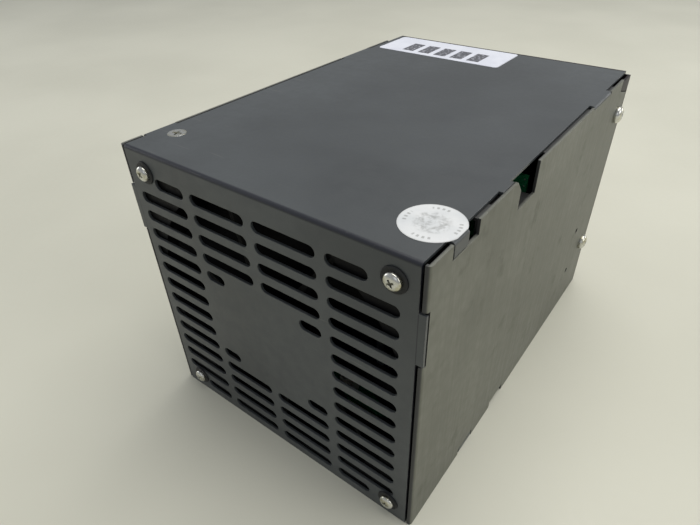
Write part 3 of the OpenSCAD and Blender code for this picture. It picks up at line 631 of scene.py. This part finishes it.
def finished(name, mesh, body, slot, replaced=()):
    """Makes the object, shades it smooth between its sharp edges and seats it on its body."""
    mesh.materials.clear()
    mesh.materials.append(finishes[slot])
    mesh.shade_smooth()
    mesh.set_sharp_from_angle(angle=SHARP_ANGLE)
    piece = linked(name, mesh)
    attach(piece, body)
    if replaced:
        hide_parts(*replaced)
    return piece


def lathe(outline, steps, name, ring=False):
    """A solid of revolution about z from (radius, height) points in millimetres; a ring is closed."""
    bm = bmesh.new()
    points = [bm.verts.new((radius * MM, 0, height * MM)) for radius, height in outline]
    following = points[1:] + points[:1] if ring else points[1:]
    edges = [bm.edges.new(pair) for pair in zip(points, following)]
    bmesh.ops.spin(
        bm, geom=points + edges, cent=(0, 0, 0), axis=(0, 0, 1),
        angle=math.tau, steps=steps, use_merge=True, use_duplicate=False,
    )
    return mesh_of(bm, name)


def cross_cutter(reach, arm, depth, top):
    """A tapered plus, from just above the height top down to depth under it."""
    clearance, taper = 0.4, 0.62
    bm = bmesh.new()
    half = arm / 2
    outline = []
    for quarter in range(4):
        turn = Matrix.Rotation(quarter * math.pi / 2, 2)
        for x, y in ((reach, -half), (reach, half), (half, half)):
            outline.append(turn @ Vector((x, y)))
    corners = [bm.verts.new((p.x * MM, p.y * MM, (top + clearance) * MM)) for p in outline]
    face = bm.faces.new(corners)
    lower = bmesh.ops.extrude_face_region(bm, geom=[face])["geom"]
    points = [v for v in lower if isinstance(v, bmesh.types.BMVert)]
    bmesh.ops.scale(bm, vec=(taper, taper, 1), verts=points)
    bmesh.ops.translate(bm, vec=(0, 0, -(depth + clearance) * MM), verts=points)
    return mesh_of(bm, "cross")


def arc(centre, radius, start, end, steps):
    """Points on an arc in the outline's plane; the angles are in degrees from the radius axis."""
    turns = [math.radians(start + (end - start) * i / steps) for i in range(steps + 1)]
    return [(centre[0] + radius * math.cos(t), centre[1] + radius * math.sin(t)) for t in turns]


def pan_screw(name, head_r, head_h, shank_r, length):
    """Pan head screw along z: the head's underside is at 0 and the shank points down."""
    shoulder = 0.34 * head_h
    flat_r = 0.3 * head_r
    rim_r = 0.15
    rise = head_h - shoulder
    dome = [(flat_r + (head_r - flat_r) * math.sin(t), shoulder + rise * math.cos(t))
            for t in [math.pi / 2 * i / 10 for i in range(11)]]
    outline = [(0, head_h)] + dome
    outline += arc((head_r - rim_r, rim_r), rim_r, 0, -90, 4)
    outline += [(shank_r, 0), (shank_r, -length + 0.5), (shank_r - 0.4, -length), (0, -length)]
    blank = lathe(outline, SCREW_STEPS, name)
    return carve(blank, cross_cutter(0.5 * head_r, 0.27 * head_r, 0.66 * head_h, head_h))


def flat_screw(name, head_r, shank_r, length):
    """Countersunk screw along z: the head is flush with 0 and the shank points down."""
    rim_r = 0.12
    outline = [(0, 0), (head_r - rim_r, 0)] + arc((head_r - rim_r, -rim_r), rim_r, 60, -30, 3)
    outline += [(shank_r, -(head_r - shank_r)), (shank_r, -length + 0.4), (shank_r - 0.3, -length)]
    outline += [(0, -length)]
    blank = lathe(outline, SCREW_STEPS, name)
    return carve(blank, cross_cutter(0.58 * head_r, 0.27 * head_r, 0.55 * head_r, 0))


def facing(place, direction, turn):
    """A matrix that stands a part made along z at place, along direction, turned about itself."""
    stand = Vector(direction).to_track_quat("Z", "X").to_matrix().to_4x4()
    return Matrix.Translation(place) @ stand @ Matrix.Rotation(math.radians(turn), 4, "Z")


def spread(low, high, inset):
    """The two middles of a pair of round parts that fill the span from low to high."""
    return low + inset, high - inset


# ---- screws ----

def case_fasteners(name, mesh, places, replaced, slot="zinc_screw"):
    """One piece of copies of mesh at the given places on the case."""
    bm = bmesh.new()
    add_copies(bm, mesh, places)
    finished(name, mesh_of(bm, name), "case", slot, (replaced,))


def grille_screws():
    """Four pan heads at the fan's corner holes, over the washers."""
    head_r, head_h, shank_r, length = 2.85, 1.8, 1.5, 10
    low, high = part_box("fan_screws")
    shape = pan_screw("grille_screw", head_r, head_h, shank_r, length)
    seats = [(x, low.y + head_h * MM, z) for x in spread(low.x, high.x, head_r * MM)
             for z in spread(low.z, high.z, head_r * MM)]
    places = [facing(Vector(seat), (0, -1, 0), 25 + 31 * i) for i, seat in enumerate(seats)]
    case_fasteners("grille_screws", shape, places, "fan_screws")


def grille_washers():
    """Four dark washers with a rounded outer edge."""
    outer_r, inner_r, thick, edge_r, lift = 4.3, 2.05, 0.6, 0.35, 0.03
    low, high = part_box("fan_washers")
    outline = [(inner_r, lift), (inner_r, thick - 0.06), (inner_r + 0.1, thick)]
    outline += arc((outer_r - edge_r, thick - edge_r), edge_r, 90, 0, 6) + [(outer_r, lift)]
    shape = lathe(outline, SCREW_STEPS, "grille_washer", ring=True)
    places = [facing(Vector((x, high.y, z)), (0, -1, 0), 0)
              for x in spread(low.x, high.x, outer_r * MM) for z in spread(low.z, high.z, outer_r * MM)]
    case_fasteners("grille_washers", shape, places, "fan_washers", "black_washer")


def panel_screws():
    """Two larger pan heads near the far end of each side panel."""
    head_r, head_h, shank_r, length = 3.9, 3.0, 1.9, 5
    low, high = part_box("side_screws")
    shape = pan_screw("panel_screw", head_r, head_h, shank_r, length)
    middle = (low.y + high.y) / 2
    places = []
    for i, z in enumerate(spread(low.z, high.z, head_r * MM)):
        places.append(facing(Vector((high.x - head_h * MM, middle, z)), (1, 0, 0), 40 + 25 * i))
        places.append(facing(Vector((low.x + head_h * MM, middle, z)), (-1, 0, 0), 15 + 50 * i))
    case_fasteners("panel_screws", shape, places, "side_screws")


def top_screws():
    """Two countersunk heads, flush with the top."""
    head_r, shank_r, length = 3.5, 1.45, 9
    low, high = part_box("cover_screws")
    shape = flat_screw("top_screw", head_r, shank_r, length)
    middle = (low.y + high.y) / 2
    places = [facing(Vector((x, middle, high.z)), (0, 0, 1), 20 + 45 * i)
              for i, x in enumerate(spread(low.x, high.x, head_r * MM))]
    case_fasteners("top_screws", shape, places, "cover_screws")


def underside_screws():
    """Four countersunk heads, flush with the base."""
    head_r, shank_r, length = 2.6, 1.3, 5
    low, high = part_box("base_screws")
    shape = flat_screw("underside_screw", head_r, shank_r, length)
    seats = [(x, y, low.z) for x in spread(low.x, high.x, head_r * MM)
             for y in spread(low.y, high.y, head_r * MM)]
    places = [facing(Vector(seat), (0, 0, -1), 10 + 35 * i) for i, seat in enumerate(seats)]
    case_fasteners("underside_screws", shape, places, "base_screws")


def rail_adapter_screws():
    """Four countersunk heads that hold the rail adapter to the left panel."""
    head_r, shank_r, length = 3.55, 1.9, 11
    low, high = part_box("adapter_screws")
    shape = flat_screw("adapter_screw", head_r, shank_r, length)
    seats = [(low.x, y, z) for y in spread(low.y, high.y, head_r * MM)
             for z in spread(low.z, high.z, head_r * MM)]
    places = [facing(Vector(seat), (-1, 0, 0), 5 + 40 * i) for i, seat in enumerate(seats)]
    case_fasteners("rail_adapter_screws", shape, places, "adapter_screws")


def terminal_screws():
    """One screw to a pole, each on its own body so that it turns and travels with its clamp."""
    poles = 7
    head_r, head_h, shank_r, length = 3.4, 2.4, 1.95, 10
    for i in range(1, poles + 1):
        low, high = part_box(f"clamp_screw_{i}")
        shape = pan_screw("clamp", head_r, head_h, shank_r, length)
        middle = Vector(((low.x + high.x) / 2, high.y - head_h * MM, (low.z + high.z) / 2))
        bm = bmesh.new()
        add_copies(bm, shape, [facing(middle, (0, 1, 0), 12 + 47 * i)])
        name = f"terminal_screw_{i}"
        finished(name, mesh_of(bm, name), f"clamp_screw_{i}", "zinc_screw", (f"clamp_screw_{i}",))


def latch_coil():
    """One helix of wire."""
    wire, turns, steps = 0.3 * MM, 8.5, 28
    low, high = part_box("latch_spring")
    middle = (low + high) / 2
    start = low.y + wire
    length = high.y - low.y - 2 * wire
    bm = bmesh.new()
    reach = (high.x - low.x) / 2 - wire
    section = Matrix.Translation((middle.x + reach, start, middle.z))
    ring = bmesh.ops.create_circle(bm, segments=12, radius=wire, matrix=section, cap_ends=False)["verts"]
    count = int(turns * steps)
    bmesh.ops.spin(
        bm, geom=ring + bm.edges[:], cent=middle, axis=(0, 1, 0), dvec=(0, length / count, 0),
        angle=math.tau * turns, steps=count, use_merge=False, use_duplicate=False,
    )
    bmesh.ops.holes_fill(bm, edges=[e for e in bm.edges if e.is_boundary], sides=0)
    coil = finished("latch_coil", mesh_of(bm, "latch_coil"), "case", "latch_steel", ("latch_spring",))
    joints = {joint["name"]: joint for joint in frame["record"]["behaviour"]["joints"]}
    travel = joints["rail_latch_slide"]["range_m"][1]
    1 - travel / (high.y - low.y)
    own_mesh(coil)


def add_floor():
    """A plain pale table top with faint clouding."""
    reach = 3
    bm = bmesh.new()
    bmesh.ops.create_grid(bm, x_segments=1, y_segments=1, size=reach)
    floor = linked("floor", mesh_of(bm, "floor"))
    finish = Finish("floor")
    place = finish.place()
    cloud = finish.noise(place, 5, 3)
    fine = finish.noise(place, 260, 3)
    pale = finish.mix(finish.between(cloud, 0.3, 0.7), tone(0.8, 0.795, 0.735), tone(0.83, 0.825, 0.765))
    floor.data.materials.append(finish.shade(
        base_color=pale,
        roughness=finish.between(fine, 0.3, 0.7, 0.5, 0.6),
    ))


set_camera()
set_studio()
add_floor()
dress_cad_nodes()
grille_screws()
grille_washers()
panel_screws()
top_screws()
underside_screws()
rail_adapter_screws()
terminal_screws()
latch_coil()
